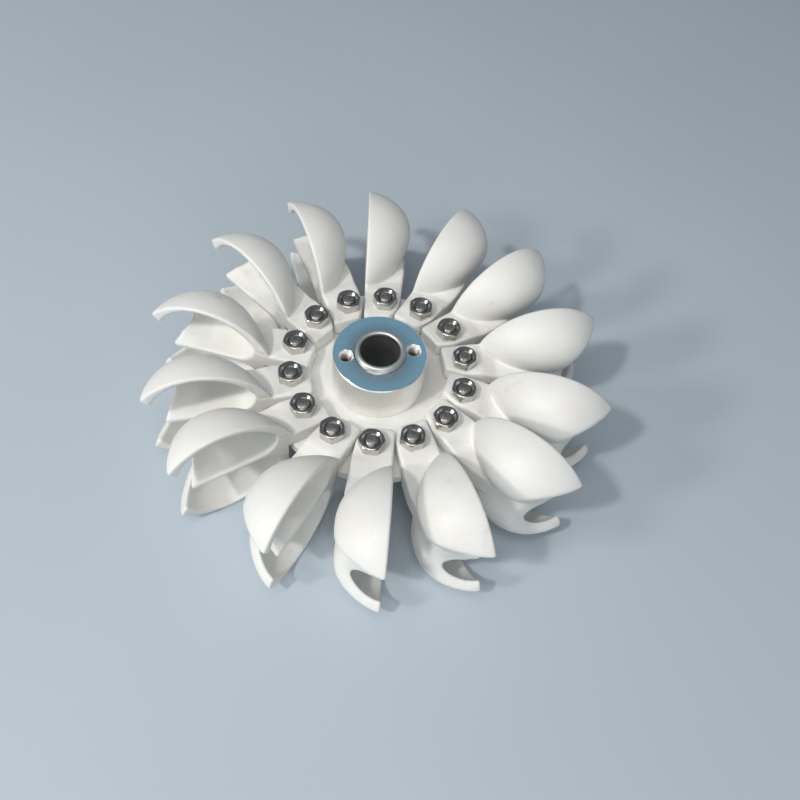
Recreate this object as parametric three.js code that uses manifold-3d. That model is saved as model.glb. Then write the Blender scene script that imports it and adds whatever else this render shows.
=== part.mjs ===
// Small pelton wheel: fourteen white plastic double-cup buckets bolted round a white plastic disc,
// with an aluminium hub in the middle. Millimetres, +Z up along the wheel's axis, origin on that axis
// at the level of the cups' lowest edges, where the wheel lies on a flat surface.
import * as THREE from 'three';
import { mergeVertices } from 'three/addons/utils/BufferGeometryUtils.js';
import Module from 'manifold-3d';

const wasm = await Module();
wasm.setup();

// The wheel.
const BUCKET_COUNT = 14;
const PITCH = ( 2 * Math.PI ) / BUCKET_COUNT;
const BOLT_CIRCLE_RADIUS = 38;
const HALF_WIDTH = 28;
const SEAT_GAP = 0.3;

// How far cutting bodies reach past the material they cut, and how near two points count as one.
const OVERSHOOT = 6;
const PAST_FACE = 1;
const MERGE_DISTANCE = 1e-5;

// Each bucket is held by one bolt and sits a little off its radius, in degrees, counter-clockwise
// seen from above. The first bucket points along +Y and the next ones follow clockwise.
const BUCKET_TURNS = [ 3.3, - 1, 2, 1, - 2.2, 1.1, - 1.9, 0.3, 0.1, - 4.6, 3.1, 2.8, - 1.8, 0 ];

// The disc that carries the buckets. Heights are from the cups' middle plane.
const DISC_RADIUS = 48.8;
const DISC_TOP = - SEAT_GAP;
const DISC_BOTTOM = - 5.5;
const DISC_SIDES = 56;

// A bucket's own frame has x outwards along its radius, y towards the cups' open side and z along the
// wheel's axis, with its origin on the bolt.
const RIM_FACE = 9.3;
const ROOT_TOP = 7.8;
const STEM_TOP = 5.5;
const PAD_END = 7;
const PAD_FOOT = 14;
const ROOT_INNER_END = - 8.5;
const ROOT_CORNER = 1;
const ROOT_STEP = DISC_RADIUS + 0.5 - BOLT_CIRCLE_RADIUS;
const DISC_ROOM = 20;
const STEM_BACK = [ [ - 7.5, - 3.2 ], [ - 1.5, - 6.4 ], [ 13, - 8.3 ], [ 21, - 9 ] ];
const WEB_BACK = [ [ 28, - 8.8 ], [ 34, - 7.6 ], [ 46, - 3.4 ], [ 58, 1 ] ];

// The double cup, measured from the bolt.
const CUP_CENTRE = 39;
const CUP_INNER_REACH = 30.8;
const CUP_OUTER_REACH = 28.4;
const CUP_DEPTH = 20.5;
const CUP_BACK_POWER = 2.2;
const CUP_CROWN = 0.48;
const VALLEY_SHARE = 0.34;
const VALLEY_SLOPE = 0.55;
const VALLEY_EDGE_SHARE = 0.2;
const HOLLOW_HALF_WIDTH = 26;
const HOLLOW_DEPTH = 18.2;
const HOLLOW_INNER_END = 22.6;
const HOLLOW_INNER_REACH = 25.3;
const HOLLOW_OUTER_REACH = 21.8;
const HOLLOW_OUTER_END = 21;
const FLOOR_INNER_REACH = 23;
const FLOOR_OUTER_REACH = 22;
const FLOOR_OUTER_POWER = 1.5;
const LEAST_HALF_WIDTH = 0.3;
const SPLITTER_HALF_THICKNESS = 1.2;
const SPLITTER_FLARE_LENGTH = 7.6;
const SPLITTER_FLARE_WIDTH = 7;
const SPLITTER_FLANK_SLOPE = 0.6;
const SPLITTER_FLANK_WIDTH = 3;
const SPLITTER_FLANK_LENGTH = 16;

// Where the cup's forms have their edges: along the cup from -1 at the inner end to 1 at the outer
// end, and round its section in degrees.
const CUP_STATIONS = [ - 0.94, - 0.74, - 0.53, - 0.3, 0, 0.3, 0.45, 0.57, 0.65 ];
const HOLLOW_STATIONS = [ - 1, - 0.82, - 0.62, - 0.34, 0, 0.3, 0.5, 0.66, 0.8, 1 ];
const CROWN_ANGLES = [ 90, 62, 36, 12 ];
const BOWL_ANGLES = [ - 90, - 60, - 30, 0, 30, 60, 90 ];

// The notch at the outer end, between the two horns.
const NOTCH_BOTTOM = 54.5;
const NOTCH_DEPTH = 8.4;
const NOTCH_HALF_WIDTH = 17;
const NOTCH_REACH = 22.1;
const NOTCH_LENGTH = 30;
const NOTCH_SLANT = 0.6;
const NOTCH_STEPS = 6;

// Bolts and nuts.
const BOLT_RADIUS = 3;
const BOLT_HOLE_RADIUS = 3.35;
const NUT_ACROSS_FLATS = 10;
const NUT_HEIGHT = 4.2;
const HEAD_HEIGHT = 4;
const THREAD_SIDES = 12;
const BOLT_END_CHAMFER = 0.7;
const HEX_SIDES = 6;
const HEX_FACE_RADIUS = 3.8;
const HEX_ROUNDING = 0.38;
const HEX_CLEARANCE = 0.4;
const BOLT_END_SUNK = 0.2;

// The hub.
const HUB_RADIUS = 20;
const HUB_TOP = 19.4;
const HUB_CHAMFER = 0.7;
const COLLAR_RADIUS = 10.6;
const COLLAR_TOP = 21.8;
const COLLAR_CHAMFER = 0.5;
const BORE_RADIUS = 8.5;
const SPIGOT_RADIUS = 14;
const FLANGE_THICKNESS = 5;
const HUB_BOTTOM = DISC_BOTTOM - SEAT_GAP - FLANGE_THICKNESS;
const HUB_SIDES = 40;
const TAPPED_HOLE_RADIUS = 2.75;
const TAPPED_HOLE_CIRCLE = 14.5;
const TAPPED_HOLE_DEPTH = 12;
const TAPPED_HOLE_ANGLE = THREE.MathUtils.degToRad( 12.5 );

const plastic = { color: 0xe9e8e2, roughness: 0.55, metalness: 0 };
const steel = { color: 0xb9bcc0, roughness: 0.22, metalness: 1 };
const aluminium = { color: 0xd3d6da, roughness: 0.3, metalness: 1 };

// Booleans on closed triangle meshes.
function toSolid( geometry ) {

	const plain = geometry.clone();
	plain.deleteAttribute( 'normal' );
	plain.deleteAttribute( 'uv' );
	const merged = mergeVertices( plain, MERGE_DISTANCE );
	const vertProperties = new Float32Array( merged.attributes.position.array );
	const triVerts = new Uint32Array( merged.index.array );
	return new wasm.Manifold( new wasm.Mesh( { numProp: 3, vertProperties, triVerts } ) );

}

function toGeometry( solid ) {

	const mesh = solid.getMesh();
	const geometry = new THREE.BufferGeometry();
	geometry.setAttribute( 'position', new THREE.BufferAttribute( mesh.vertProperties, 3 ) );
	geometry.setIndex( new THREE.BufferAttribute( mesh.triVerts, 1 ) );
	return geometry;

}

// An upright prism over an outline in x and y.
function prism( outline, bottom, top ) {

	const shape = new THREE.Shape( outline.map( ( [ x, y ] ) => new THREE.Vector2( x, y ) ) );
	const geometry = new THREE.ExtrudeGeometry( shape, { depth: top - bottom, bevelEnabled: false } );
	geometry.translate( 0, 0, bottom );
	return geometry;

}

function drum( radius, bottom, top, sides ) {

	const geometry = new THREE.CylinderGeometry( radius, radius, top - bottom, sides );
	geometry.rotateX( Math.PI / 2 );
	geometry.translate( 0, 0, ( bottom + top ) / 2 );
	return geometry;

}

// A turned body from a closed outline of [ radius, height ] pairs.
function turned( outline, sides ) {

	const points = outline.map( ( [ radius, height ] ) => new THREE.Vector2( radius, height ) );
	points.push( points[ 0 ].clone() );
	const geometry = new THREE.LatheGeometry( points, sides );
	geometry.rotateX( Math.PI / 2 );
	return geometry;

}

// A closed body through rings that all have the same number of points, with a fan over each end.
function loft( rings ) {

	const count = rings[ 0 ].length;
	const positions = [];
	const index = [];
	for ( const ring of rings ) {

		for ( const point of ring ) {

			positions.push( ...point );

		}

	}

	for ( let r = 0; r < rings.length - 1; r ++ ) {

		for ( let i = 0; i < count; i ++ ) {

			const a = r * count + i;
			const b = r * count + ( i + 1 ) % count;
			index.push( a, b, b + count, a, b + count, a + count );

		}

	}

	for ( const [ ring, flip ] of [ [ 0, true ], [ rings.length - 1, false ] ] ) {

		const first = ring * count;
		const outline = rings[ ring ].map( ( [ , y, z ] ) => new THREE.Vector2( y, z ) );
		for ( const [ a, b, c ] of THREE.ShapeUtils.triangulateShape( outline, [] ) ) {

			const corners = flip ? [ a, c, b ] : [ a, b, c ];
			index.push( ...corners.map( ( corner ) => first + corner ) );

		}

	}

	const geometry = new THREE.BufferGeometry();
	geometry.setAttribute( 'position', new THREE.Float32BufferAttribute( positions, 3 ) );
	geometry.setIndex( index );
	return geometry;

}

// The height of a unit circle's arc at a distance from its centre.
function arcHeight( distance ) {

	return Math.sqrt( Math.max( 0, 1 - distance ** 2 ) );

}

// Places along the cup, close together towards its two ends.
function stations( innerReach, outerReach, shares ) {

	return shares.map( ( share ) => {

		const reach = share < 0 ? innerReach : outerReach;
		return CUP_CENTRE + reach * Math.sin( ( share * Math.PI ) / 2 );

	} );

}

// The outer form of the double cup: two crowns with a shallow valley between them.
function cupForm() {

	const profile = CROWN_ANGLES.map( THREE.MathUtils.degToRad ).map( ( angle ) => [
		CUP_CROWN + ( 1 - CUP_CROWN ) * Math.sin( angle ), Math.cos( angle ) ] );
	profile.push( [ CUP_CROWN * VALLEY_SLOPE, 1 - VALLEY_SHARE * VALLEY_EDGE_SHARE ] );
	profile.push( [ 0, 1 - VALLEY_SHARE ] );
	const rings = [];
	for ( const x of stations( CUP_INNER_REACH, CUP_OUTER_REACH, CUP_STATIONS ) ) {

		const along = Math.abs( x - CUP_CENTRE ) / ( x < CUP_CENTRE ? CUP_INNER_REACH : CUP_OUTER_REACH );
		const width = HALF_WIDTH * arcHeight( along );
		const rise = CUP_DEPTH * ( 1 - along ** CUP_BACK_POWER );
		const upper = profile.map( ( [ u, depth ] ) => [ x, RIM_FACE - rise * depth, width * u ] );
		const lower = upper.slice( 0, - 1 ).reverse().map( ( [ px, y, z ] ) => [ px, y, - z ] );
		rings.push( [ ...upper, ...lower ] );

	}

	return loft( rings );

}

// The hollow's depth along the cup: round towards the root, running out towards the horns.
function floorDepth( x ) {

	if ( x < CUP_CENTRE ) return HOLLOW_DEPTH * arcHeight( ( CUP_CENTRE - x ) / FLOOR_INNER_REACH );
	return HOLLOW_DEPTH * ( 1 - ( ( x - CUP_CENTRE ) / FLOOR_OUTER_REACH ) ** FLOOR_OUTER_POWER );

}

// How much the splitter has thickened at a depth below the rim. It is a wedge only towards the horns.
function flankWidth( x, depth ) {

	const share = THREE.MathUtils.clamp( ( x - CUP_CENTRE ) / SPLITTER_FLANK_LENGTH, 0, 1 );
	return share * Math.min( SPLITTER_FLANK_SLOPE * depth, SPLITTER_FLANK_WIDTH );

}

// One cup's hollow, from the splitter to the outer lip, standing proud of the rim face to cut it open.
function hollowForm( side ) {

	const bowlAngles = BOWL_ANGLES.map( THREE.MathUtils.degToRad );
	const flareEnd = CUP_CENTRE - HOLLOW_INNER_END + SPLITTER_FLARE_LENGTH;
	const rings = [];
	for ( const x of stations( HOLLOW_INNER_END, HOLLOW_OUTER_END, HOLLOW_STATIONS ) ) {

		const lipReach = x < CUP_CENTRE ? HOLLOW_INNER_REACH : HOLLOW_OUTER_REACH;
		const lip = HOLLOW_HALF_WIDTH * arcHeight( ( x - CUP_CENTRE ) / lipReach );
		const flare = Math.max( 0, flareEnd - x ) / SPLITTER_FLARE_LENGTH;
		const near = SPLITTER_HALF_THICKNESS + SPLITTER_FLARE_WIDTH * ( 1 - arcHeight( flare ) );
		const bowl = bowlAngles.map( ( angle ) => {

			const depth = floorDepth( x ) * Math.cos( angle );
			const foot = near + flankWidth( x, depth );
			const halfWidth = Math.max( ( lip - foot ) / 2, LEAST_HALF_WIDTH );
			const z = ( lip + foot ) / 2 + halfWidth * Math.sin( angle );
			return [ x, RIM_FACE - depth, side * z ];

		} );
		const first = [ x, RIM_FACE + OVERSHOOT, bowl[ 0 ][ 2 ] ];
		const last = [ x, RIM_FACE + OVERSHOOT, bowl.at( - 1 )[ 2 ] ];
		const ring = [ first, ...bowl, last ];
		rings.push( side > 0 ? ring.reverse() : ring );

	}

	return loft( rings );

}

// The bite that leaves the two horns, its floor slanting inwards towards the cups' backs.
function notchForm() {

	const outline = [];
	for ( let step = - NOTCH_STEPS; step <= NOTCH_STEPS; step ++ ) {

		const z = ( NOTCH_REACH * step ) / NOTCH_STEPS;
		outline.push( [ NOTCH_BOTTOM + NOTCH_DEPTH * ( z / NOTCH_HALF_WIDTH ) ** 2, z ] );

	}

	outline.push( [ NOTCH_BOTTOM + NOTCH_LENGTH, NOTCH_REACH ] );
	outline.push( [ NOTCH_BOTTOM + NOTCH_LENGTH, - NOTCH_REACH ] );
	const geometry = prism( outline.reverse(), - HALF_WIDTH, HALF_WIDTH );
	geometry.rotateX( - Math.PI / 2 );
	geometry.applyMatrix4( new THREE.Matrix4().makeShear( 0, 0, NOTCH_SLANT, 0, 0, 0 ) );
	geometry.translate( - NOTCH_SLANT * RIM_FACE, 0, 0 );
	return geometry;

}

// The room above the stem, where the thick pad under the nut slopes down to the stem.
function stemRoom() {

	const outline = [
		[ PAD_END, ROOT_TOP ], [ PAD_FOOT, STEM_TOP ], [ DISC_RADIUS + HALF_WIDTH, STEM_TOP ],
		[ DISC_RADIUS + HALF_WIDTH, HALF_WIDTH ], [ PAD_END, HALF_WIDTH ],
	];
	const geometry = prism( outline, - HALF_WIDTH, HALF_WIDTH );
	geometry.rotateX( Math.PI / 2 );
	return geometry;

}

// One bucket: root tab and stem, web between the cups, the double cup, the notch and the bolt hole.
function bucketGeometry() {

	const tab = [
		[ ROOT_INNER_END, RIM_FACE - ROOT_CORNER ],
		[ ROOT_INNER_END, STEM_BACK[ 0 ][ 1 ] + ROOT_CORNER ],
		...STEM_BACK,
		...WEB_BACK,
		[ WEB_BACK.at( - 1 )[ 0 ], RIM_FACE ],
		[ ROOT_INNER_END + ROOT_CORNER, RIM_FACE ],
	];
	const stem = toSolid( prism( tab, - STEM_TOP, ROOT_TOP ) ).subtract( toSolid( stemRoom() ) );
	const body = stem.add( toSolid( cupForm() ) );
	const under = [
		[ - DISC_ROOM, - DISC_ROOM ], [ ROOT_STEP, - DISC_ROOM ],
		[ ROOT_STEP, DISC_ROOM ], [ - DISC_ROOM, DISC_ROOM ],
	];
	const discRoom = toSolid( prism( under, - HALF_WIDTH - OVERSHOOT, 0 ) );
	const boltHole = toSolid( drum( BOLT_HOLE_RADIUS, - HALF_WIDTH, HALF_WIDTH, THREAD_SIDES ) );
	const solid = body
		.subtract( toSolid( hollowForm( 1 ) ) )
		.subtract( toSolid( hollowForm( - 1 ) ) )
		.subtract( toSolid( notchForm() ) )
		.subtract( discRoom )
		.subtract( boltHole );
	return toGeometry( solid );

}

// A hexagonal block with its corners turned down to a round face at the chosen ends.
function hexBlock( bottom, top, turnBottom, turnTop ) {

	const flat = NUT_ACROSS_FLATS / 2;
	const corner = flat / Math.cos( Math.PI / HEX_SIDES );
	const block = toSolid( drum( corner, bottom, top, HEX_SIDES ) );
	const low = [ new THREE.Vector2( 0, bottom ) ];
	const high = [ new THREE.Vector2( 0, top ) ];
	for ( const radius of [ HEX_FACE_RADIUS, flat, corner + HEX_CLEARANCE ] ) {

		const drop = HEX_ROUNDING * ( radius - HEX_FACE_RADIUS ) ** 2;
		low.push( new THREE.Vector2( radius, bottom + ( turnBottom ? drop : 0 ) ) );
		high.push( new THREE.Vector2( radius, top - ( turnTop ? drop : 0 ) ) );

	}

	const round = new THREE.LatheGeometry( [ ...low, ...high.reverse() ], THREAD_SIDES );
	round.rotateX( Math.PI / 2 );
	return block.intersect( toSolid( round ) );

}

function nutGeometry() {

	const bottom = ROOT_TOP + SEAT_GAP;
	const top = bottom + NUT_HEIGHT;
	const hole = toSolid( drum( BOLT_HOLE_RADIUS, bottom - PAST_FACE, top + PAST_FACE, THREAD_SIDES ) );
	return toGeometry( hexBlock( bottom, top, false, true ).subtract( hole ) );

}

function boltGeometry() {

	const headTop = DISC_BOTTOM - SEAT_GAP;
	const end = ROOT_TOP + SEAT_GAP + NUT_HEIGHT - BOLT_END_SUNK;
	const head = hexBlock( headTop - HEAD_HEIGHT, headTop, true, false );
	const points = [
		[ 0, headTop - PAST_FACE ], [ BOLT_RADIUS, headTop - PAST_FACE ],
		[ BOLT_RADIUS, end - BOLT_END_CHAMFER ],
		[ BOLT_RADIUS - BOLT_END_CHAMFER, end ], [ 0, end ],
	].map( ( [ radius, height ] ) => new THREE.Vector2( radius, height ) );
	const shank = new THREE.LatheGeometry( points, THREAD_SIDES );
	shank.rotateX( Math.PI / 2 );
	return toGeometry( head.add( toSolid( shank ) ) );

}

function discGeometry() {

	let solid = toSolid( turned( [
		[ SPIGOT_RADIUS + SEAT_GAP, DISC_BOTTOM ], [ DISC_RADIUS, DISC_BOTTOM ],
		[ DISC_RADIUS, DISC_TOP ], [ SPIGOT_RADIUS + SEAT_GAP, DISC_TOP ],
	], DISC_SIDES ) );
	const holeTop = DISC_TOP + PAST_FACE;
	const hole = toSolid( drum( BOLT_HOLE_RADIUS, DISC_BOTTOM - PAST_FACE, holeTop, THREAD_SIDES ) );
	for ( let number = 0; number < BUCKET_COUNT; number ++ ) {

		const { x, y } = boltPlace( number );
		solid = solid.subtract( hole.translate( [ x, y, 0 ] ) );

	}

	return toGeometry( solid );

}

function hubGeometry() {

	const body = toSolid( turned( [
		[ BORE_RADIUS, HUB_BOTTOM ], [ SPIGOT_RADIUS, HUB_BOTTOM ], [ SPIGOT_RADIUS, 0 ], [ HUB_RADIUS, 0 ],
		[ HUB_RADIUS, HUB_TOP - HUB_CHAMFER ], [ HUB_RADIUS - HUB_CHAMFER, HUB_TOP ],
		[ COLLAR_RADIUS, HUB_TOP ], [ COLLAR_RADIUS, COLLAR_TOP - COLLAR_CHAMFER ],
		[ COLLAR_RADIUS - COLLAR_CHAMFER, COLLAR_TOP ], [ BORE_RADIUS, COLLAR_TOP ],
	], HUB_SIDES ) );
	const holeBottom = HUB_TOP - TAPPED_HOLE_DEPTH;
	const hole = toSolid( drum( TAPPED_HOLE_RADIUS, holeBottom, HUB_TOP + PAST_FACE, THREAD_SIDES ) );
	const across = TAPPED_HOLE_CIRCLE * Math.cos( TAPPED_HOLE_ANGLE );
	const up = TAPPED_HOLE_CIRCLE * Math.sin( TAPPED_HOLE_ANGLE );
	const solid = body
		.subtract( hole.translate( [ across, up, 0 ] ) )
		.subtract( hole.translate( [ - across, - up, 0 ] ) );
	return toGeometry( solid );

}

function flangeGeometry() {

	const top = DISC_BOTTOM - SEAT_GAP;
	return turned( [
		[ SPIGOT_RADIUS + SEAT_GAP, top - FLANGE_THICKNESS ], [ HUB_RADIUS, top - FLANGE_THICKNESS ],
		[ HUB_RADIUS, top ], [ SPIGOT_RADIUS + SEAT_GAP, top ],
	], HUB_SIDES );

}

function bucketAngle( number ) {

	return Math.PI / 2 - number * PITCH;

}

function boltPlace( number ) {

	const place = new THREE.Vector3( BOLT_CIRCLE_RADIUS, 0, 0 );
	return place.applyAxisAngle( new THREE.Vector3( 0, 0, 1 ), bucketAngle( number ) );

}

function addPiece( parent, name, geometry, finish ) {

	const mesh = new THREE.Mesh( geometry, new THREE.MeshStandardMaterial( finish ) );
	mesh.name = name;
	parent.add( mesh );
	return mesh;

}

const wheel = new THREE.Group();
wheel.position.z = HALF_WIDTH;

addPiece( wheel, 'disc', discGeometry(), plastic );
addPiece( wheel, 'hub', hubGeometry(), aluminium );
addPiece( wheel, 'hub_flange', flangeGeometry(), aluminium );

const bucket = bucketGeometry();
const nut = nutGeometry();
const bolt = boltGeometry();

for ( let number = 0; number < BUCKET_COUNT; number ++ ) {

	const label = String( number + 1 ).padStart( 2, '0' );
	const station = new THREE.Group();
	station.position.copy( boltPlace( number ) );
	station.rotation.z = bucketAngle( number );
	wheel.add( station );
	const cup = addPiece( station, `bucket_${ label }`, bucket, plastic );
	cup.rotation.z = THREE.MathUtils.degToRad( BUCKET_TURNS[ number ] );
	addPiece( station, `bolt_${ label }`, bolt, steel );
	addPiece( station, `nut_${ label }`, nut, steel );

}

export default wheel;
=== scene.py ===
# The looks of a small pelton wheel: fourteen moulded white plastic double-cup buckets, each held by a
# stainless bolt and nut on a plastic disc, round a turned aluminium hub.
# Lengths are in millimetres, and heights are from the cups' middle plane. The floor, the lights, the
# camera's range and the grain of the materials are in metres.
import math

import bmesh
import bpy
import numpy as np
from mathutils import Euler, Matrix, Vector


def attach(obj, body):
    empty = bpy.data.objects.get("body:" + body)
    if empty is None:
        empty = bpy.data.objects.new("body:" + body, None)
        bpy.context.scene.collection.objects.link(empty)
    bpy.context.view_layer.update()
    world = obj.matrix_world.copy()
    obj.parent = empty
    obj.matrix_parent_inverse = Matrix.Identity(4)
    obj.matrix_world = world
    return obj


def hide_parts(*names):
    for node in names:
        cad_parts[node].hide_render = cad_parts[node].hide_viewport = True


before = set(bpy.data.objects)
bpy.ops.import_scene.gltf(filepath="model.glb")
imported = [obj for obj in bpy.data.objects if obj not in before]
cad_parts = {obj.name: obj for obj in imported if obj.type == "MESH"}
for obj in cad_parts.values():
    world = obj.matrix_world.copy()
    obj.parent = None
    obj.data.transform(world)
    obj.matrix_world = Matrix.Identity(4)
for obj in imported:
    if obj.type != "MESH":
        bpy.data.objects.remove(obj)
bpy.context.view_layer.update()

MM = 0.001

# The wheel. The first bucket points along +Y and the next ones follow clockwise. Each one sits a little
# off its radius, in degrees, counter-clockwise seen from above.
BUCKET_COUNT = 14
BUCKET_TURNS = (3.3, -1, 2, 1, -2.2, 1.1, -1.9, 0.3, 0.1, -4.6, 3.1, 2.8, -1.8, 0)
BOLT_CIRCLE_RADIUS = 38.0
HALF_WIDTH = 28.0
SEAT_GAP = 0.3

# What is left open under a piece that reaches across its seat.
SEAT_SLIT = 0.02

# The disc, and the flange under it.
DISC_RADIUS = 48.8
DISC_TOP = -SEAT_GAP
DISC_BOTTOM = -5.5
DISC_EDGE = 0.4
FLANGE_THICKNESS = 5.0
FLANGE_EDGE = 0.5
SPIGOT_CLEARANCE = 0.05

# A bucket's own frame has x outwards, y towards the cups' open side and z along the wheel's axis,
# with its origin on the bolt.
RIM_FACE = 9.3
ROOT_TOP = 7.8
STEM_TOP = 5.5
PAD_END = 7.0
PAD_FOOT = 14.0
ROOT_STEP = 11.3
BOLT_HOLE_RADIUS = 3.2

# The root, the stem and the web between the cups, in x and y.
STEM_OUTLINE = (
    (-8.5, 8.3), (-8.5, -2.2), (-7.5, -3.2), (-4.5, -5.0), (-1.5, -6.4), (5.5, -7.5), (13, -8.3),
    (21, -9.0), (28, -8.8), (34, -7.6), (40, -5.6), (46, -3.4), (52, -1.2), (58, 1), (58, 9.3),
    (-7.5, 9.3),
)

# The double cup, its hollows and the splitter between them.
CUP_CENTRE = 39.0
CUP_INNER_REACH = 30.8
CUP_OUTER_REACH = 28.4
CUP_DEPTH = 20.5
CUP_BACK_POWER = 2.2
CUP_CROWN = 0.48
VALLEY_SHARE = 0.34
HOLLOW_HALF_WIDTH = 26.0
HOLLOW_DEPTH = 18.2
HOLLOW_INNER_END = 16.4
HOLLOW_INNER_REACH = 25.3
HOLLOW_OUTER_REACH = 21.8
FLOOR_INNER_REACH = 23.0
FLOOR_OUTER_REACH = 22.0
FLOOR_OUTER_POWER = 1.5
SPLITTER_HALF_THICKNESS = 1.2
SPLITTER_FLANK_SLOPE = 0.6
SPLITTER_FLANK_WIDTH = 3.0
SPLITTER_FLANK_LENGTH = 16.0
SPLITTER_FLARE_LENGTH = 7.6
SPLITTER_FLARE_WIDTH = 7.0
LEAST_HOLLOW = 0.3
LEAST_WALL = 0.9

# The notch between the horns.
NOTCH_BOTTOM = 54.5
NOTCH_DEPTH = 8.4
NOTCH_HALF_WIDTH = 17.0
NOTCH_SLANT = 0.6

# How softly the bucket's forms meet.
STEM_EDGE = 1.2
LIP_EDGE = 0.7
CREASE = 1.0
HORN_EDGE = 2.4
MILLED_EDGE = 0.5

# How finely the bucket's surface is made. The least values keep a division from running away.
CELL = 0.75
BUCKET_ROOM = ((-10.1, -13.0, -29.5), (63.0, 11.0, 29.5))
SLOPE_REACH = 0.05
LEAST_SLOPE = 0.01
LEAST_SHARE = 0.02
SETTLE_ROUNDS = 3
SETTLE_REACH = 0.02
LEAST_SQUARED_SLOPE = 0.1
LEAST_MOVE = 1e-9

# How near two points of a mesh count as one.
JOIN_DISTANCE = 0.001

# Threads. Each corner of one turn has its share of the pitch and of the thread's depth.
THREAD_PITCH = 1.0
THREAD_DEPTH = 0.35
THREAD_TURN = ((0.1, 0), (0.4, 0), (0.65, 1), (0.85, 1))
TAPPED_THREAD_DEPTH = 0.3
TAPPED_THREAD_TURN = ((0.3, 1), (0.55, 0), (0.7, 0), (0.95, 1))

# Bolts and nuts.
BOLT_RADIUS = 3.0
SHANK_RADIUS = BOLT_RADIUS - 0.12
SHANK_STEPS = 48
THREAD_LENGTH_IN_ROOT = 2.0
THREAD_END_GAP = 0.1
BOLT_END_RADIUS = BOLT_RADIUS - 0.2
BOLT_END_SUNK = 0.2
BOLT_END_ROUND = 0.8
BOLT_END_STEPS = 8
HEAD_HEIGHT = 4.0
HEAD_BORE_RADIUS = 1.0
HEAD_DIMPLE_RADIUS = 0.9
HEAD_DIMPLE_DEPTH = 0.3
NUT_HEIGHT = 4.2
NUT_BORE_RADIUS = BOLT_RADIUS - 0.1
NUT_LEAD_IN = 1.15
HEX_ACROSS = 10.0
HEX_SIDES = 6
HEX_STEPS = 12
HEX_FACE_RADIUS = 4.6
HEX_ROUND_STEPS = 5
HEX_ROUNDING = 0.6
HEX_CORNER_SHARE = 1.11

# The hub.
HUB_RADIUS = 20.0
HUB_TOP = 19.4
HUB_TOP_CHAMFER = 0.4
HUB_FOOT_CHAMFER = 0.2
HUB_FOOT_GAP = 0.1
COLLAR_RADIUS = 10.6
COLLAR_TOP = 21.8
COLLAR_ROUND = 0.9
COLLAR_FOOT = 0.7
COLLAR_STEPS = 12
BORE_RADIUS = 8.5
SPIGOT_RADIUS = 14.0
SPIGOT_CHAMFER = 0.5
HUB_BOTTOM = DISC_BOTTOM - SEAT_GAP - FLANGE_THICKNESS
TAPPED_HOLE_RADIUS = 2.75
TAPPED_HOLE_CIRCLE = 14.5
TAPPED_HOLE_DEPTH = 12.0
TAPPED_HOLE_ANGLE = math.radians(12.5)
TAPPED_HOLE_STEPS = 40
TAPPED_MOUTH_CHAMFER = 0.5
CUTTER_OVERSHOOT = 0.1
ROUND_STEPS = 128

# The angles, in degrees, over which an edge is shaded sharp.
NUT_SHARP_ANGLE = 30
TURNED_SHARP_ANGLE = 25

# Colours, in linear light.
CLEAN = (1.0, 1.0, 1.0)
NYLON_WARM = (0.855, 0.825, 0.785)
NYLON_WHITE = (0.88, 0.87, 0.835)
NYLON_DULL = (0.865, 0.845, 0.805)
SPECK = (0.80, 0.77, 0.72)
SMUDGE = (0.86, 0.845, 0.82)
STEEL_DARK = (0.50, 0.48, 0.45)
STEEL_BRIGHT = (0.68, 0.655, 0.62)
SAWN_GRAIN = (0.6, 0.6, 0.59)
ALUMINIUM_DARK = (0.90, 0.90, 0.875)
ALUMINIUM_BRIGHT = (0.965, 0.965, 0.94)
# A plain darker grey for the collar, and painted shade for the bore's wall.
COLLAR_GREY = (0.74, 0.75, 0.745)
BORE_PAINTED_SHADE = (0.46, 0.455, 0.45)
HOLE_SHADE = (0.20, 0.13, 0.10)
FLOOR_DARK = (0.49, 0.56, 0.62)
FLOOR_PALE = (0.51, 0.58, 0.64)
STUDIO_AIR = (0.75, 0.88, 1.0)
STUDIO_STRENGTH = 0.15

# Over what distance one finish of the metal gives way to another, or the painted shade in the tapped
# holes to clean metal, and how much duller and rougher the sawn ends of the bolts are.
FINISH_AND_SHADE_BAND = 1.0
GRAIN_BAND = 0.3
SAWN_DULLNESS = 0.2
SAWN_RELIEF = 5.0

# The camera stands at the photograph's viewing angle. Its turn is in degrees about x, y and z.
CAMERA_PLACE = (-0.07, -203.0, 291.0)
CAMERA_TURN = (33.3532, -4.4257, 3.5392)
CAMERA_LENS = 36.136
NEAREST_SEEN = 0.01
FARTHEST_SEEN = 20.0

# Where the lights point, and how far the floor reaches each way.
WHEEL_MIDDLE = (0, 0, 0.03)
FLOOR_REACH = 3.0


def smooth_max(a, b, radius):
    """The larger of two distances, rounded where they are nearly alike."""
    near = np.maximum(radius - np.abs(a - b), 0) / radius
    return np.maximum(a, b) + near**2 * radius / 4


def smooth_min(a, b, radius):
    """The smaller of two distances, rounded where they are nearly alike."""
    return -smooth_max(-a, -b, radius)


def changes(form, x, y, z, reach):
    """How much a form's value changes from one side of a point to the other, along x, y and z."""
    return (
        form(x + reach, y, z) - form(x - reach, y, z),
        form(x, y + reach, z) - form(x, y - reach, z),
        form(x, y, z + reach) - form(x, y, z - reach),
    )


def as_distance(form, x, y, z):
    """A form's value over its slope, which is close to the distance from its surface."""
    change_x, change_y, change_z = changes(form, x, y, z, SLOPE_REACH)
    slope = np.sqrt(change_x**2 + change_y**2 + change_z**2) / (2 * SLOPE_REACH)
    return form(x, y, z) / np.maximum(slope, LEAST_SLOPE)


def arc_height(distance):
    """The height of a unit circle's arc at a distance from its centre."""
    return np.sqrt(np.maximum(0, 1 - distance**2))


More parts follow.
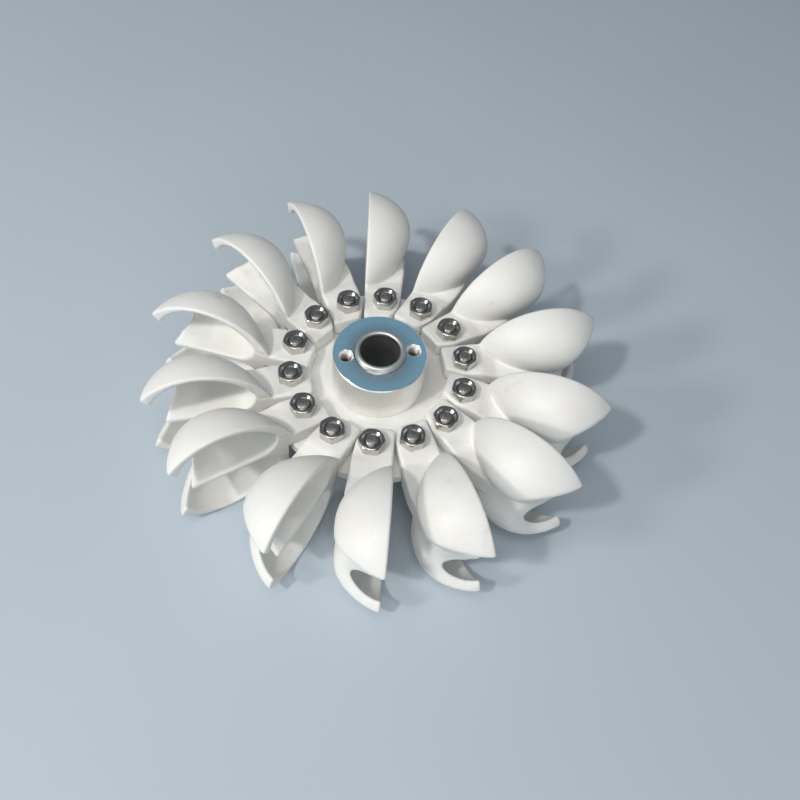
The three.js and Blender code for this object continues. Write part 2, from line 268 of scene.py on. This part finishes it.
def outline_distance(x, y, outline):
    """The distance from a closed outline in x and y, negative inside it."""
    nearest = np.full(x.shape, np.inf)
    inside = np.zeros(x.shape, bool)
    for (ax, ay), (bx, by) in zip(outline, outline[1:] + outline[:1]):
        along_x = bx - ax
        along_y = by - ay
        share = ((x - ax) * along_x + (y - ay) * along_y) / (along_x**2 + along_y**2)
        share = np.clip(share, 0, 1)
        gap = np.hypot(x - ax - share * along_x, y - ay - share * along_y)
        nearest = np.minimum(nearest, gap)
        if along_y:
            crosses = ((ay > y) != (by > y)) & (x < ax + (y - ay) / along_y * along_x)
            inside ^= crosses
    return np.where(inside, -nearest, nearest)


def cup_outside(x, y, z):
    """The outer form of the double cup: two crowns with a valley between them."""
    reach = np.where(x < CUP_CENTRE, CUP_INNER_REACH, CUP_OUTER_REACH)
    along = np.abs(x - CUP_CENTRE) / reach
    width = np.maximum(arc_height(along), LEAST_SHARE)
    rise = np.maximum(1 - along**CUP_BACK_POWER, LEAST_SHARE)
    across = np.abs(z) / HALF_WIDTH / width
    side = np.maximum(across - CUP_CROWN, 0) / (1 - CUP_CROWN)
    valley = VALLEY_SHARE * np.maximum(1 - across / CUP_CROWN, 0) ** 2
    depth = (RIM_FACE - y) / CUP_DEPTH / rise / (1 - valley)
    return np.sqrt(side**2 + depth**2) - 1 + np.maximum(along - 1, 0)


def cup_hollow(x, y, z):
    """One cup's hollow on each side of the splitter, open at the rim face."""
    lip_reach = np.where(x < CUP_CENTRE, HOLLOW_INNER_REACH, HOLLOW_OUTER_REACH)
    lip = HOLLOW_HALF_WIDTH * arc_height((x - CUP_CENTRE) / lip_reach)
    flare = np.clip((HOLLOW_INNER_END + SPLITTER_FLARE_LENGTH - x) / SPLITTER_FLARE_LENGTH, 0, 1)
    near = SPLITTER_HALF_THICKNESS + SPLITTER_FLARE_WIDTH * (1 - arc_height(flare))
    below = np.maximum(RIM_FACE - y, 0)
    flank = np.minimum(SPLITTER_FLANK_SLOPE * below, SPLITTER_FLANK_WIDTH)
    near = near + flank * np.clip((x - CUP_CENTRE) / SPLITTER_FLANK_LENGTH, 0, 1)
    inner_floor = arc_height((CUP_CENTRE - x) / FLOOR_INNER_REACH)
    outer_floor = 1 - (np.maximum(x - CUP_CENTRE, 0) / FLOOR_OUTER_REACH) ** FLOOR_OUTER_POWER
    depth = HOLLOW_DEPTH * np.where(x < CUP_CENTRE, inner_floor, outer_floor)
    depth = np.maximum(depth, LEAST_HOLLOW)
    across = (np.abs(z) - near) / np.maximum(lip - near, LEAST_HOLLOW)
    return (2 * across - 1) ** 2 + (below / depth) ** 2 - 1


def notch_room(x, y, z):
    """Positive in the bite between the two horns, which leans inwards towards the cups' backs."""
    edge = NOTCH_BOTTOM + NOTCH_DEPTH * (z / NOTCH_HALF_WIDTH) ** 2
    return x - edge + NOTCH_SLANT * (RIM_FACE - y)


def bucket_form(x, y, z):
    """The distance from a bucket's surface, negative inside its plastic."""
    slope = np.clip((x - PAD_END) / (PAD_FOOT - PAD_END), 0, 1)
    top = ROOT_TOP + (STEM_TOP - ROOT_TOP) * slope
    thickness = np.maximum(z - top, -z - STEM_TOP)
    stem = smooth_max(outline_distance(x, y, STEM_OUTLINE), thickness, STEM_EDGE)
    outside = as_distance(cup_outside, x, y, z)
    cup = smooth_max(outside, y - RIM_FACE, LIP_EDGE)
    solid = np.maximum(smooth_min(stem, cup, CREASE), y - RIM_FACE)
    hollow = np.maximum(as_distance(cup_hollow, x, y, z), outside + LEAST_WALL)
    solid = smooth_max(solid, -hollow, LIP_EDGE)
    solid = smooth_max(solid, as_distance(notch_room, x, y, z), HORN_EDGE)
    disc_room = np.maximum(x - ROOT_STEP, z)
    solid = smooth_max(solid, -disc_room, MILLED_EDGE)
    return smooth_max(solid, BOLT_HOLE_RADIUS - np.hypot(x, y), MILLED_EDGE)


def part_along(axis, part):
    """Picks a part of a grid along one axis, and all of it along the other two."""
    return tuple(part if a == axis else slice(None) for a in range(3))


def cell_faces(crossings, number):
    """A four-sided face round each grid edge that the surface crosses, turned outwards."""
    cells = number.shape
    faces = []
    for axis, (crosses, leaving) in enumerate(crossings):
        next_axis = (axis + 1) % 3
        last_axis = (axis + 2) % 3
        spots = np.argwhere(crosses)
        inner = (spots[:, next_axis] > 0) & (spots[:, last_axis] > 0)
        inner &= spots[:, next_axis] < cells[next_axis]
        inner &= spots[:, last_axis] < cells[last_axis]
        spots = spots[inner]
        corners = []
        for back_next, back_last in ((1, 1), (0, 1), (0, 0), (1, 0)):
            corner = spots.copy()
            corner[:, next_axis] -= back_next
            corner[:, last_axis] -= back_last
            corners.append(number[tuple(corner.T)])
        quads = np.stack(corners, 1)
        outwards = leaving[tuple(spots.T)]
        faces.append(np.where(outwards[:, None], quads, quads[:, ::-1]))
    return np.concatenate(faces)


def surface_points(value, low, cell):
    """One point in each grid cell that the surface crosses, and the four-sided faces between them."""
    cells = tuple(n - 1 for n in value.shape)
    total = np.zeros(cells + (3,))
    count = np.zeros(cells)
    grid = np.stack(np.indices(value.shape), -1).astype(float)
    crossings = []
    for axis in range(3):
        starts = part_along(axis, slice(0, -1))
        first = value[starts]
        second = value[part_along(axis, slice(1, None))]
        crosses = (first < 0) != (second < 0)
        crossings.append((crosses, first < 0))
        place = grid[starts].copy()
        place[..., axis] += np.where(crosses, first / np.where(crosses, first - second, 1), 0)
        others = [a for a in range(3) if a != axis]
        for i in (0, 1):
            for j in (0, 1):
                part = [slice(None)] * 3
                part[others[0]] = slice(i, i + cells[others[0]])
                part[others[1]] = slice(j, j + cells[others[1]])
                part = tuple(part)
                total += place[part] * crosses[part][..., None]
                count += crosses[part]
    used = count > 0
    number = np.full(cells, -1)
    number[used] = np.arange(used.sum())
    points = np.array(low) + cell * total[used] / count[used][:, None]
    return points, cell_faces(crossings, number)


def settle_on(form, points, longest):
    """Moves points along the form's slope until they lie on its surface."""
    for _ in range(SETTLE_ROUNDS):
        x, y, z = points.T
        value = form(x, y, z)
        slope = np.stack(changes(form, x, y, z, SETTLE_REACH), 1) / (2 * SETTLE_REACH)
        size = np.maximum((slope**2).sum(1), LEAST_SQUARED_SLOPE)
        move = -slope * (value / size)[:, None]
        length = np.linalg.norm(move, axis=1)
        move *= np.minimum(1, longest / np.maximum(length, LEAST_MOVE))[:, None]
        points = points + move
    return points


def shade_smooth(mesh, sharp_angle):
    """Shades a mesh smooth, with its edges kept sharp over an angle where one is given."""
    mesh.polygons.foreach_set("use_smooth", [True] * len(mesh.polygons))
    if sharp_angle is not None:
        mesh.set_sharp_from_angle(angle=math.radians(sharp_angle))


def new_mesh(name, points, faces, sharp_angle=None):
    """A smooth-shaded mesh from points in millimetres, with coincident points made one."""
    mesh = bpy.data.meshes.new(name)
    mesh.from_pydata([tuple(MM * c for c in p) for p in points], [], [tuple(f) for f in faces])
    shape = bmesh.new()
    shape.from_mesh(mesh)
    bmesh.ops.remove_doubles(shape, verts=shape.verts, dist=MM * JOIN_DISTANCE)
    shape.to_mesh(mesh)
    shape.free()
    mesh.update()
    shade_smooth(mesh, sharp_angle)
    return mesh


def new_piece(name, mesh, material, nodes, place=(0, 0, 0), turn=0.0):
    """A piece of the wheel that stands for CAD nodes, at a place in millimetres from the middle plane."""
    piece = bpy.data.objects.new(name, mesh)
    bpy.context.scene.collection.objects.link(piece)
    piece.location = [MM * place[0], MM * place[1], MM * (place[2] + HALF_WIDTH)]
    piece.rotation_euler = (0, 0, turn)
    if not mesh.materials:
        mesh.materials.append(material)
    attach(piece, "root")
    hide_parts(*nodes)
    return piece


def bucket_mesh():
    """The mesh that all the buckets share."""
    low, high = BUCKET_ROOM
    axes = [np.arange(a, b + CELL, CELL) for a, b in zip(low, high)]
    x, y, z = np.meshgrid(*axes, indexing="ij")
    points, faces = surface_points(bucket_form(x, y, z), low, CELL)
    points = settle_on(bucket_form, points, CELL / 2)
    return new_mesh("bucket", points, faces)


def around(radius, height, angle):
    """A point at a radius and a height, turned about z."""
    return (radius * math.cos(angle), radius * math.sin(angle), height)


def ring_faces(count, steps, closed=True):
    """Four-sided faces between the turned copies of a profile that has a number of points."""
    faces = []
    for step in range(steps):
        here = step * count
        there = ((step + 1) % steps) * count
        for i in range(count if closed else count - 1):
            j = (i + 1) % count
            faces.append((here + i, there + i, there + j, here + j))
    return faces


def turned_rings(profile, steps, closed=True):
    """Points and faces of a profile of (radius, height) pairs turned about z."""
    points = []
    for step in range(steps):
        angle = 2 * math.pi * step / steps
        points += [around(radius, height, angle) for radius, height in profile]
    return points, ring_faces(len(profile), steps, closed)


def cut_profile(corners):
    """A closed outline of (radius, height, chamfer) corners, each cut back by its own chamfer."""
    result = []
    for i, (radius, height, chamfer) in enumerate(corners):
        point = Vector((radius, height))
        if chamfer:
            before = Vector(corners[i - 1][:2]) - point
            after = Vector(corners[(i + 1) % len(corners)][:2]) - point
            result.append(tuple(point + before.normalized() * chamfer))
            result.append(tuple(point + after.normalized() * chamfer))
        else:
            result.append(tuple(point))
    return result


def hex_reach(angle):
    """How far a hexagon's side is from its centre at an angle."""
    sector = 2 * math.pi / HEX_SIDES
    offset = (angle + sector / 2) % sector - sector / 2
    return HEX_ACROSS / 2 / math.cos(offset)


def hex_ring(bottom, top, bore, cut_bottom, cut_top, lead_in):
    """A hexagonal block round a bore, with its corners turned down to a round face."""
    steps = HEX_SIDES * HEX_STEPS
    points = []
    for step in range(steps):
        angle = 2 * math.pi * step / steps
        side = min(hex_reach(angle), HEX_ACROSS / 2 * HEX_CORNER_SHARE)
        turned = []
        for i in range(HEX_ROUND_STEPS + 1):
            out = (side - HEX_FACE_RADIUS) * i / HEX_ROUND_STEPS
            turned.append((HEX_FACE_RADIUS + out, HEX_ROUNDING * out**2))
        profile = [(bore + lead_in, bottom)]
        profile += [(radius, bottom + (drop if cut_bottom else 0)) for radius, drop in turned]
        profile += [(radius, top - (drop if cut_top else 0)) for radius, drop in reversed(turned)]
        profile += [(bore + lead_in, top), (bore, top - lead_in), (bore, bottom + lead_in)]
        points += [around(radius, height, angle) for radius, height in profile]
    return points, ring_faces(len(profile), steps)


def nut_mesh():
    """The mesh that all the nuts share."""
    bottom = ROOT_TOP + SEAT_SLIT
    top = ROOT_TOP + SEAT_GAP + NUT_HEIGHT
    points, faces = hex_ring(
        bottom, top, bore=NUT_BORE_RADIUS, cut_bottom=False, cut_top=True, lead_in=NUT_LEAD_IN)
    return new_mesh("nut", points, faces, NUT_SHARP_ANGLE)


def shank_profile(head_bottom, head_top, end):
    """A bolt's section from the dimple in its head, up its plain shank and thread to its round end."""
    thread_bottom = ROOT_TOP - THREAD_LENGTH_IN_ROOT
    dimple = head_bottom + HEAD_DIMPLE_DEPTH
    profile = [
        (0.0, dimple), (HEAD_DIMPLE_RADIUS, dimple), (HEAD_DIMPLE_RADIUS, head_top),
        (SHANK_RADIUS, head_top), (SHANK_RADIUS, thread_bottom),
    ]
    for turn in range(int((end - thread_bottom) / THREAD_PITCH)):
        for share, depth in THREAD_TURN:
            height = thread_bottom + (turn + share) * THREAD_PITCH
            if height < end - BOLT_END_ROUND - THREAD_END_GAP:
                profile.append((SHANK_RADIUS - THREAD_DEPTH * depth, height))
    for step in range(BOLT_END_STEPS + 1):
        share = step / BOLT_END_STEPS
        radius = BOLT_END_RADIUS * (1 - share**2)
        profile.append((radius, end - BOLT_END_ROUND * (1 - share) ** 2))
    return profile


def bolt_mesh():
    """The mesh that all the bolts share: a hex head, a plain shank and a threaded end."""
    end = ROOT_TOP + SEAT_GAP + NUT_HEIGHT - BOLT_END_SUNK
    head_top = DISC_BOTTOM - SEAT_SLIT
    head_bottom = DISC_BOTTOM - SEAT_GAP - HEAD_HEIGHT
    points, faces = hex_ring(
        head_bottom, head_top, bore=HEAD_BORE_RADIUS, cut_bottom=True, cut_top=False, lead_in=0.0)
    head_count = len(points)
    profile = shank_profile(head_bottom, head_top, end)
    shank_points, shank_faces = turned_rings(profile, SHANK_STEPS, closed=False)
    points += shank_points
    for shank_face in shank_faces:
        faces.append(tuple(head_count + corner for corner in shank_face))
    return new_mesh("bolt", points, faces, TURNED_SHARP_ANGLE)


def hub_profile():
    """The hub's section: its bore, the spigot, the boss, the collar's foot and the collar's round top."""
    boss_foot = DISC_TOP + HUB_FOOT_GAP
    corners = [
        (BORE_RADIUS, HUB_BOTTOM, SPIGOT_CHAMFER),
        (SPIGOT_RADIUS, HUB_BOTTOM, SPIGOT_CHAMFER),
        (SPIGOT_RADIUS, boss_foot, 0),
        (HUB_RADIUS, boss_foot, HUB_FOOT_CHAMFER),
        (HUB_RADIUS, HUB_TOP, HUB_TOP_CHAMFER),
        (COLLAR_RADIUS + COLLAR_FOOT, HUB_TOP, 0),
        (COLLAR_RADIUS + COLLAR_FOOT / 4, HUB_TOP + COLLAR_FOOT / 4, 0),
        (COLLAR_RADIUS, HUB_TOP + COLLAR_FOOT, 0),
    ]
    middle = (COLLAR_RADIUS + BORE_RADIUS) / 2
    half = (COLLAR_RADIUS - BORE_RADIUS) / 2
    for step in range(COLLAR_STEPS + 1):
        angle = math.pi * step / COLLAR_STEPS
        height = COLLAR_TOP - COLLAR_ROUND * (1 - math.sin(angle))
        corners.append((middle + half * math.cos(angle), height, 0))
    return cut_profile(corners)


def tapped_hole_profile():
    """A tapped hole's section, from its foot up through its thread to its chamfered mouth."""
    turn = HUB_TOP - TAPPED_HOLE_DEPTH
    profile = [(TAPPED_HOLE_RADIUS - TAPPED_THREAD_DEPTH, turn)]
    while turn + THREAD_PITCH < HUB_TOP - TAPPED_MOUTH_CHAMFER - THREAD_END_GAP:
        for share, depth in TAPPED_THREAD_TURN:
            radius = TAPPED_HOLE_RADIUS - TAPPED_THREAD_DEPTH * depth
            profile.append((radius, turn + share * THREAD_PITCH))
        turn += THREAD_PITCH
    mouth_radius = TAPPED_HOLE_RADIUS + TAPPED_MOUTH_CHAMFER + CUTTER_OVERSHOOT
    profile.append((TAPPED_HOLE_RADIUS, HUB_TOP - TAPPED_MOUTH_CHAMFER))
    profile.append((mouth_radius, HUB_TOP + CUTTER_OVERSHOOT))
    return profile


def hole_cutter(place):
    """A closed plug in the form of a tapped hole."""
    profile = tapped_hole_profile()
    points, faces = turned_rings(profile, TAPPED_HOLE_STEPS, closed=False)
    bottom = [step * len(profile) for step in range(TAPPED_HOLE_STEPS)]
    top = [corner + len(profile) - 1 for corner in bottom]
    faces.append(tuple(reversed(bottom)))
    faces.append(tuple(top))
    plug = bpy.data.objects.new("hole_cutter", new_mesh("hole_cutter", points, faces))
    plug.location = [MM * c for c in place]
    bpy.context.scene.collection.objects.link(plug)
    return plug


def cut_out(piece, plug):
    """Cuts a plug's form out of a piece and takes the plug away."""
    cut = piece.modifiers.new("hole", "BOOLEAN")
    cut.operation = "DIFFERENCE"
    cut.solver = "EXACT"
    cut.object = plug
    bpy.context.view_layer.update()
    evaluated = piece.evaluated_get(bpy.context.evaluated_depsgraph_get())
    shape = bpy.data.meshes.new_from_object(evaluated)
    piece.modifiers.clear()
    piece.data = shape
    bpy.data.objects.remove(plug)


def hub_piece(material):
    """The turned hub with its two tapped holes."""
    points, faces = turned_rings(hub_profile(), ROUND_STEPS)
    mesh = new_mesh("hub_boss", points, faces, TURNED_SHARP_ANGLE)
    piece = new_piece("hub_boss", mesh, material, ["hub"])
    for side in (1, -1):
        cut_out(piece, hole_cutter(around(side * TAPPED_HOLE_CIRCLE, HALF_WIDTH, TAPPED_HOLE_ANGLE)))
    shade_smooth(piece.data, TURNED_SHARP_ANGLE)
    return piece


def ring_piece(name, inner, outer, bottom, top, edge, material, nodes):
    """A flat ring with chamfered edges."""
    corners = [(inner, bottom, edge), (outer, bottom, edge), (outer, top, edge), (inner, top, edge)]
    points, faces = turned_rings(cut_profile(corners), ROUND_STEPS)
    new_piece(name, new_mesh(name, points, faces, TURNED_SHARP_ANGLE), material, nodes)


class Nodes:
    """A short way to write a material's node tree."""

    def __init__(self, name):
        self.material = bpy.data.materials.new(name)
        self.material.use_nodes = True
        self.tree = self.material.node_tree
        self.shader = self.tree.nodes["Principled BSDF"]
        self.place = self.add("ShaderNodeTexCoord").outputs["Object"]
        self.spot = self.add("ShaderNodeNewGeometry").outputs["Position"]

    def add(self, kind, **values):
        """A new node with some of its settings."""
        node = self.tree.nodes.new(kind)
        for key, value in values.items():
            setattr(node, key, value)
        return node

    def feed(self, socket, value):
        """Links a socket to another node's output, or sets a number, colour or vector on it."""
        if isinstance(value, bpy.types.NodeSocket):
            self.tree.links.new(value, socket)
        else:
            socket.default_value = value

    def finish(self, values):
        """The material, with values for some of the shader's own sockets."""
        for name, value in values.items():
            self.feed(self.shader.inputs[name], value)
        return self.material

    def noise(self, scale, detail, stretch=None):
        """Noise that goes by the place on the whole wheel, so that like pieces don't look the same."""
        source = self.spot
        if stretch:
            mapping = self.add("ShaderNodeMapping")
            mapping.inputs["Scale"].default_value = stretch
            self.feed(mapping.inputs["Vector"], source)
            source = mapping.outputs["Vector"]
        node = self.add("ShaderNodeTexNoise")
        node.inputs["Scale"].default_value = scale
        node.inputs["Detail"].default_value = detail
        self.feed(node.inputs["Vector"], source)
        return node.outputs["Fac"]

    def ramp(self, source, stops):
        """Colours that follow a value from stop to stop."""
        node = self.add("ShaderNodeValToRGB")
        elements = node.color_ramp.elements
        while len(elements) < len(stops):
            elements.new(0.5)
        for element, (position, colour) in zip(elements, stops):
            element.position = position
            element.color = (*colour, 1)
        self.feed(node.inputs["Fac"], source)
        return node.outputs["Color"]

    def levels(self, source, stops):
        """Numbers that follow a value from stop to stop."""
        return self.ramp(source, [(position, (level, level, level)) for position, level in stops])

    def span(self, source, low, high, start=0.0, end=1.0):
        """A value that goes from the low to the high one while its source goes from start to end."""
        node = self.add("ShaderNodeMapRange")
        node.inputs["From Min"].default_value = start
        node.inputs["From Max"].default_value = end
        node.inputs["To Min"].default_value = low
        node.inputs["To Max"].default_value = high
        self.feed(node.inputs["Value"], source)
        return node.outputs["Result"]

    def radius_share(self, full, none):
        """One at the full radius about the piece's axis, going to zero at the other radius."""
        flat = self.add("ShaderNodeVectorMath", operation="MULTIPLY")
        flat.inputs[1].default_value = (1, 1, 0)
        self.feed(flat.inputs[0], self.place)
        radius = self.add("ShaderNodeVectorMath", operation="LENGTH")
        self.feed(radius.inputs[0], flat.outputs["Vector"])
        return self.span(radius.outputs["Value"], low=1.0, high=0.0, start=MM * full, end=MM * none)

    def height_share(self, none, full):
        """Zero up to one height on the piece, going to one at the full height."""
        split = self.add("ShaderNodeSeparateXYZ")
        self.feed(split.inputs["Vector"], self.place)
        return self.span(split.outputs["Z"], low=0.0, high=1.0, start=MM * none, end=MM * full)

    def combine(self, operation, *values):
        """A sum or a product of outputs and numbers."""
        node = self.add("ShaderNodeMath", operation=operation)
        for socket, value in zip(node.inputs, values):
            self.feed(socket, value)
        return node.outputs["Value"]

    def blend(self, first, second, amount=1.0):
        """A colour multiplied by a second one, as far as the amount says."""
        node = self.add("ShaderNodeMix", data_type="RGBA", blend_type="MULTIPLY")
        self.feed(node.inputs["Factor"], amount)
        self.feed(node.inputs["A"], first)
        self.feed(node.inputs["B"], second)
        return node.outputs["Result"]

    def bump(self, source, strength, distance, below=None):
        """Small relief, on top of any that is already there."""
        node = self.add("ShaderNodeBump")
        node.inputs["Strength"].default_value = strength
        node.inputs["Distance"].default_value = distance
        self.feed(node.inputs["Height"], source)
        if below is not None:
            self.feed(node.inputs["Normal"], below)
        return node.outputs["Normal"]


def plastic_material():
    """White moulded nylon: a faint warm mottling, small dark specks, soft smudges and a sanded skin."""
    made = Nodes("white_plastic")
    mottle = made.ramp(
        made.noise(scale=55, detail=4), ((0.33, NYLON_WARM), (0.5, NYLON_WHITE), (0.67, NYLON_DULL)))
    specks = made.ramp(made.noise(scale=800, detail=1), ((0.24, SPECK), (0.29, CLEAN)))
    smudges = made.ramp(made.noise(scale=70, detail=2), ((0.66, CLEAN), (0.76, SMUDGE)))
    speckled = made.blend(mottle, specks, amount=0.35)
    skin = made.bump(made.noise(scale=2600, detail=2), strength=0.12, distance=0.0002)
    waves = made.bump(made.noise(scale=120, detail=2), strength=0.15, distance=0.0008, below=skin)
    return made.finish({
        "Base Color": made.blend(speckled, smudges),
        "Roughness": made.span(made.noise(scale=180, detail=3), low=0.42, high=0.58),
        "Subsurface Weight": 0.12,
        "Subsurface Radius": (0.004, 0.003, 0.002),
        "Normal": waves,
    })


def steel_material():
    """Bright stainless steel with smudges, and grainy sawn ends on the bolts."""
    made = Nodes("stainless_steel")
    tone = made.ramp(made.noise(scale=700, detail=3), ((0.3, STEEL_DARK), (0.7, STEEL_BRIGHT)))
    grain = made.ramp(made.noise(scale=1600, detail=2), ((0.38, SAWN_GRAIN), (0.62, CLEAN)))
    cut_end = made.radius_share(BOLT_RADIUS - 2 * GRAIN_BAND, BOLT_RADIUS - GRAIN_BAND)
    smudged = made.span(made.noise(scale=900, detail=4), low=0.15, high=0.29)
    rise = made.span(cut_end, low=1.0, high=SAWN_RELIEF)
    relief = made.combine("MULTIPLY", made.noise(scale=1500, detail=3), rise)
    return made.finish({
        "Base Color": made.blend(tone, grain, amount=cut_end),
        "Metallic": 1.0,
        "Roughness": made.combine("MULTIPLY_ADD", cut_end, SAWN_DULLNESS, smudged),
        "Normal": made.bump(relief, strength=0.12, distance=0.0001),
    })


def aluminium_material():
    """Turned aluminium: a bright top face, satin sides, a greyer collar, a dull bore darkened with
    painted shade, painted shade deep in the tapped holes and fine rings from the turning.
    """
    made = Nodes("aluminium")
    tone = made.ramp(
        made.noise(scale=160, detail=3), ((0.3, ALUMINIUM_DARK), (0.7, ALUMINIUM_BRIGHT)))
    # The collar is a plain darker grey, and the bore's wall is darkened further with painted shade.
    collar_grey_and_bore_shade = made.ramp(made.radius_share(BORE_RADIUS, COLLAR_RADIUS + COLLAR_FOOT), (
        (0.0, CLEAN), (0.15, COLLAR_GREY), (0.95, COLLAR_GREY), (0.98, BORE_PAINTED_SHADE)))
    # Painted shade: the tapped holes' walls turn dark brown deep down and are clean again towards their
    # mouths.
    hole_height = made.height_share(HUB_TOP - TAPPED_HOLE_DEPTH - FINISH_AND_SHADE_BAND, HUB_TOP)
    hole_shade = made.ramp(hole_height, (
        (0.02, CLEAN), (0.07, HOLE_SHADE), (0.54, HOLE_SHADE), (0.92, CLEAN)))
    inside_boss = made.radius_share(HUB_RADIUS - 2 * FINISH_AND_SHADE_BAND, HUB_RADIUS - FINISH_AND_SHADE_BAND)
    outside_collar = made.radius_share(COLLAR_RADIUS + FINISH_AND_SHADE_BAND, COLLAR_RADIUS)
    in_holes = made.combine("MULTIPLY", inside_boss, outside_collar)
    about_top = made.height_share(HUB_TOP - FINISH_AND_SHADE_BAND, HUB_TOP + FINISH_AND_SHADE_BAND)
    satin = made.levels(about_top, ((0.44, 0.3), (0.48, 0), (0.6, 0), (0.75, 0.34)))
    gloss = made.span(made.noise(scale=400, detail=3), low=0.12, high=0.24)
    rings = made.add("ShaderNodeTexWave", wave_type="RINGS", rings_direction="Z")
    rings.inputs["Scale"].default_value = 900
    made.feed(rings.inputs["Vector"], made.place)
    marks = made.bump(
        made.noise(scale=500, detail=3, stretch=(1, 1, 6)), strength=0.06, distance=0.0001)
    return made.finish({
        "Base Color": made.blend(made.blend(tone, collar_grey_and_bore_shade), hole_shade, amount=in_holes),
        "Metallic": 1.0,
        "Roughness": made.combine("ADD", gloss, satin),
        "Normal": made.bump(rings.outputs["Fac"], strength=0.08, distance=0.0001, below=marks),
    })


def make_camera():
    """A camera that sees the wheel as the photograph does."""
    data = bpy.data.cameras.new("camera")
    data.lens = CAMERA_LENS
    data.clip_start = NEAREST_SEEN
    data.clip_end = FARTHEST_SEEN
    camera = bpy.data.objects.new("camera", data)
    bpy.context.scene.collection.objects.link(camera)
    place = Vector([MM * c for c in CAMERA_PLACE]) + Vector((0, 0, MM * HALF_WIDTH))
    turn = Euler([math.radians(angle) for angle in CAMERA_TURN])
    camera.matrix_world = Matrix.Translation(place) @ turn.to_matrix().to_4x4()
    bpy.context.scene.camera = camera


def make_light(name, place, size, power, colour):
    """A round soft light that points at the wheel."""
    data = bpy.data.lights.new(name, "AREA")
    data.shape = "DISK"
    data.size = size
    data.energy = power
    data.color = colour
    light = bpy.data.objects.new(name, data)
    light.location = place
    light.rotation_mode = "QUATERNION"
    light.rotation_quaternion = (Vector(WHEEL_MIDDLE) - Vector(place)).to_track_quat("-Z", "Y")
    bpy.context.scene.collection.objects.link(light)
    return light


def shine_only_on(name, pieces, lights):
    """Keeps lights from falling on anything but some pieces."""
    group = bpy.data.collections.new(name)
    for piece in pieces:
        group.objects.link(piece)
    for light in lights:
        light.light_linking.receiver_collection = group


def make_floor():
    """A plain pale floor under the wheel."""
    reach = FLOOR_REACH
    mesh = bpy.data.meshes.new("floor")
    corners = [(-reach, -reach, 0), (reach, -reach, 0), (reach, reach, 0), (-reach, reach, 0)]
    mesh.from_pydata(corners, [], [(0, 1, 2, 3)])
    floor = bpy.data.objects.new("floor", mesh)
    bpy.context.scene.collection.objects.link(floor)
    made = Nodes("pale_floor")
    tone = made.ramp(made.noise(scale=6, detail=2), ((0.3, FLOOR_DARK), (0.7, FLOOR_PALE)))
    mesh.materials.append(made.finish({"Base Color": tone, "Roughness": 0.6}))


def make_world():
    """The weak even light of the studio."""
    world = bpy.data.worlds.new("studio")
    bpy.context.scene.world = world
    world.use_nodes = True
    background = world.node_tree.nodes["Background"]
    background.inputs["Color"].default_value = (*STUDIO_AIR, 1)
    background.inputs["Strength"].default_value = STUDIO_STRENGTH


plastic = plastic_material()
steel = steel_material()
aluminium = aluminium_material()

hub = hub_piece(aluminium)
ring_piece(
    "hub_back_flange", SPIGOT_RADIUS + SPIGOT_CLEARANCE, HUB_RADIUS, HUB_BOTTOM, DISC_BOTTOM - SEAT_SLIT,
    FLANGE_EDGE, aluminium, ["hub_flange"])
ring_piece(
    "carrier_disc", SPIGOT_RADIUS + SPIGOT_CLEARANCE, DISC_RADIUS, DISC_BOTTOM, DISC_TOP,
    DISC_EDGE, plastic, ["disc"])

bucket = bucket_mesh()
nut = nut_mesh()
bolt = bolt_mesh()
for number in range(BUCKET_COUNT):
    label = f"{number + 1:02d}"
    angle = math.pi / 2 - number * 2 * math.pi / BUCKET_COUNT
    place = around(BOLT_CIRCLE_RADIUS, 0, angle)
    turn = angle + math.radians(BUCKET_TURNS[number])
    new_piece(f"double_cup_{label}", bucket, plastic, [f"bucket_{label}"], place, turn)
    new_piece(f"hex_nut_{label}", nut, steel, [f"nut_{label}"], place, angle)
    new_piece(f"hex_bolt_{label}", bolt, steel, [f"bolt_{label}"], place, angle)

make_camera()
make_floor()
make_world()

# The hard lights stay off the bolts and nuts, which have a softer one in their place. The blue panel is
# only there for the hub's flat top to mirror.
key = make_light("key", (-0.71, -0.57, 1.2), size=0.12, power=7.1, colour=(1.0, 0.99, 0.96))
side = make_light("side", (-1.1, -0.6, 0.75), size=0.22, power=5.6, colour=(1.0, 0.99, 0.97))
soft_side = make_light("soft_side", (-1.1, -0.6, 0.75), size=0.45, power=5.6, colour=(1.0, 0.99, 0.97))
make_light("overhead", (-0.15, -0.35, 1.35), size=1.0, power=5.8, colour=(1.0, 1.0, 1.0))
front = make_light("front", (0.35, -1.35, 0.75), size=1.1, power=3.8, colour=(0.97, 0.99, 1.0))
panel = make_light("blue_panel", (0.0, 0.95, 1.3), size=0.9, power=0.55, colour=(0.147, 0.60, 0.94))

pieces = [thing for thing in bpy.context.scene.objects if thing.type == "MESH"]
fasteners = [piece for piece in pieces if piece.name.startswith("hex_")]
others = [piece for piece in pieces if not piece.name.startswith("hex_")]
shine_only_on("all_but_fasteners", others, [key, side, front])
shine_only_on("fasteners", fasteners, [soft_side])
shine_only_on("seen_in_the_hub_top", [hub], [panel])
bpy.context.scene.view_settings.view_transform = "Standard"
